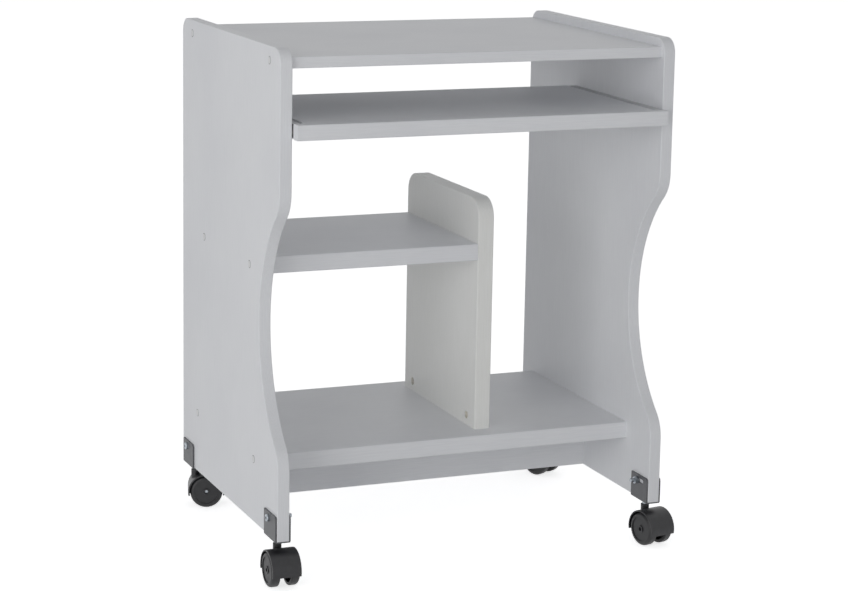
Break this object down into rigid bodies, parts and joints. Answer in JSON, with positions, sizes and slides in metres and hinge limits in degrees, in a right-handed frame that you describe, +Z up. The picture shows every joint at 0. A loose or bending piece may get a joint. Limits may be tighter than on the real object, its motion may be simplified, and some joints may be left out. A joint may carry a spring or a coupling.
{
  "type": "mobile computer trolley",
  "caption": "Open board computer trolley on twin-wheel swivel casters, with a pull-out keyboard tray, a middle shelf, a divider and a bay for a computer tower.",
  "frame": {"origin": "middle of the whole outline's width and depth, at floor level, casters at their resting angles", "axes": "+Z up, -Y the front where the keyboard tray pulls out, +X to the right when facing the front"},
  "size_m": [0.6419, 0.477, 0.7585],
  "materials": {
    "white_board": "white melamine film on particle board, fine embossed grain",
    "white_cap": "satin white cap",
    "zinc_steel": "bright zinc plate",
    "yellow_zinc": "yellow zinc plate",
    "cam_zinc": "die-cast zinc",
    "beech": "plain beech",
    "runner_dark": "dark grey paint",
    "runner_paint": "white powder coat",
    "bracket_paint": "dark grey paint",
    "roller_nylon": "white nylon",
    "caster_plastic": "satin black plastic",
    "wheel_plastic": "black plastic"
  },
  "bodies": {
    "carcass": {"side_panel_left": "white_board", "side_panel_right": "white_board", "top_board": "white_board", "middle_shelf": "white_board", "centre_divider": "white_board", "bottom_shelf": "white_board", "lower_rail": "white_board", "connector_screws": "zinc_steel", "screw_caps": "white_cap", "wood_dowels": "beech", "divider_bolts": "zinc_steel", "divider_barrel_nuts": "yellow_zinc", "rail_cams": "cam_zinc", "rail_cam_bolts": "zinc_steel", "cabinet_runner_left": "runner_paint", "cabinet_runner_right": "runner_paint", "runner_screws": "zinc_steel", "front_roller_pins": "zinc_steel", "bracket_front_left": "bracket_paint", "bracket_front_right": "bracket_paint", "bracket_rear_left": "bracket_paint", "bracket_rear_right": "bracket_paint", "bracket_bolts": "zinc_steel", "bracket_nuts": "zinc_steel", "caster_stems": "zinc_steel"},
    "tray": {"tray_runner_left": "runner_dark", "tray_runner_right": "runner_dark", "tray_screws": "zinc_steel", "tray_board": "white_board", "tray_front": "white_board", "tray_dowels": "beech", "rear_roller_pins": "zinc_steel"},
    "front_roller_left": {"front_roller_left": "roller_nylon"},
    "front_roller_right": {"front_roller_right": "roller_nylon"},
    "rear_roller_left": {"rear_roller_left": "roller_nylon"},
    "rear_roller_right": {"rear_roller_right": "roller_nylon"},
    "caster_front_left": {"caster_body_front_left": "caster_plastic", "caster_ring_front_left": "zinc_steel", "caster_axle_front_left": "zinc_steel"},
    "wheel_front_left_left": {"wheel_front_left_left": "wheel_plastic"},
    "wheel_front_left_right": {"wheel_front_left_right": "wheel_plastic"},
    "caster_front_right": {"caster_body_front_right": "caster_plastic", "caster_ring_front_right": "zinc_steel", "caster_axle_front_right": "zinc_steel"},
    "wheel_front_right_left": {"wheel_front_right_left": "wheel_plastic"},
    "wheel_front_right_right": {"wheel_front_right_right": "wheel_plastic"},
    "caster_rear_left": {"caster_body_rear_left": "caster_plastic", "caster_ring_rear_left": "zinc_steel", "caster_axle_rear_left": "zinc_steel"},
    "wheel_rear_left_left": {"wheel_rear_left_left": "wheel_plastic"},
    "wheel_rear_left_right": {"wheel_rear_left_right": "wheel_plastic"},
    "caster_rear_right": {"caster_body_rear_right": "caster_plastic", "caster_ring_rear_right": "zinc_steel", "caster_axle_rear_right": "zinc_steel"},
    "wheel_rear_right_left": {"wheel_rear_right_left": "wheel_plastic"},
    "wheel_rear_right_right": {"wheel_rear_right_right": "wheel_plastic"}
  },
  "joints": [
    {"name": "tray_slide", "type": "slide", "parent": "carcass", "child": "tray", "axis": [0, -1, 0], "range_m": [0, 0.24363]},
    {"name": "front_roller_left_spin", "type": "hinge", "parent": "carcass", "child": "front_roller_left", "pos_m": [-0.28448, -0.20027, 0.6455], "axis": [1, 0, 0], "range_deg": [0, 1746]},
    {"name": "front_roller_right_spin", "type": "hinge", "parent": "carcass", "child": "front_roller_right", "pos_m": [0.26672, -0.20027, 0.6455], "axis": [1, 0, 0], "range_deg": [0, 1746]},
    {"name": "rear_roller_left_spin", "type": "hinge", "parent": "tray", "child": "rear_roller_left", "pos_m": [-0.28218, 0.06173, 0.6448], "axis": [1, 0, 0], "range_deg": [0, 1746]},
    {"name": "rear_roller_right_spin", "type": "hinge", "parent": "tray", "child": "rear_roller_right", "pos_m": [0.26442, 0.06173, 0.6448], "axis": [1, 0, 0], "range_deg": [0, 1746]},
    {"name": "swivel_front_left", "type": "hinge", "parent": "carcass", "child": "caster_front_left", "pos_m": [-0.29988, -0.18977, 0.0575], "axis": [0, 0, 1], "continuous": true},
    {"name": "wheel_front_left_left_spin", "type": "hinge", "parent": "caster_front_left", "child": "wheel_front_left_left", "pos_m": [-0.31488, -0.20677, 0.025], "axis": [1, 0, 0], "continuous": true},
    {"name": "wheel_front_left_right_spin", "type": "hinge", "parent": "caster_front_left", "child": "wheel_front_left_right", "pos_m": [-0.28488, -0.20677, 0.025], "axis": [1, 0, 0], "continuous": true},
    {"name": "swivel_front_right", "type": "hinge", "parent": "carcass", "child": "caster_front_right", "pos_m": [0.28212, -0.18977, 0.0575], "axis": [0, 0, 1], "continuous": true},
    {"name": "wheel_front_right_left_spin", "type": "hinge", "parent": "caster_front_right", "child": "wheel_front_right_left", "pos_m": [0.27064, -0.20932, 0.025], "axis": [0.9816, 0.1908, 0], "continuous": true},
    {"name": "wheel_front_right_right_spin", "type": "hinge", "parent": "caster_front_right", "child": "wheel_front_right_right", "pos_m": [0.30009, -0.20359, 0.025], "axis": [0.9816, 0.1908, 0], "continuous": true},
    {"name": "swivel_rear_left", "type": "hinge", "parent": "carcass", "child": "caster_rear_left", "pos_m": [-0.29988, 0.20473, 0.0575], "axis": [0, 0, 1], "continuous": true},
    {"name": "wheel_rear_left_left_spin", "type": "hinge", "parent": "caster_rear_left", "child": "wheel_rear_left_left", "pos_m": [-0.28768, 0.18563, 0.025], "axis": [0.2756, 0.9613, 0], "continuous": true},
    {"name": "wheel_rear_left_right_spin", "type": "hinge", "parent": "caster_rear_left", "child": "wheel_rear_left_right", "pos_m": [-0.27941, 0.21446, 0.025], "axis": [0.2756, 0.9613, 0], "continuous": true},
    {"name": "swivel_rear_right", "type": "hinge", "parent": "carcass", "child": "caster_rear_right", "pos_m": [0.28212, 0.20473, 0.0575], "axis": [0, 0, 1], "continuous": true},
    {"name": "wheel_rear_right_left_spin", "type": "hinge", "parent": "caster_rear_right", "child": "wheel_rear_right_left", "pos_m": [0.27571, 0.18298, 0.025], "axis": [0.9063, 0.4226, 0], "continuous": true},
    {"name": "wheel_rear_right_right_spin", "type": "hinge", "parent": "caster_rear_right", "child": "wheel_rear_right_right", "pos_m": [0.3029, 0.19566, 0.025], "axis": [0.9063, 0.4226, 0], "continuous": true}
  ],
  "couplings": [
    {"joint": "front_roller_left_spin", "follows": "tray_slide", "rad_per_m": 125},
    {"joint": "front_roller_right_spin", "follows": "tray_slide", "rad_per_m": 125},
    {"joint": "rear_roller_left_spin", "follows": "tray_slide", "rad_per_m": 125},
    {"joint": "rear_roller_right_spin", "follows": "tray_slide", "rad_per_m": 125}
  ]
}
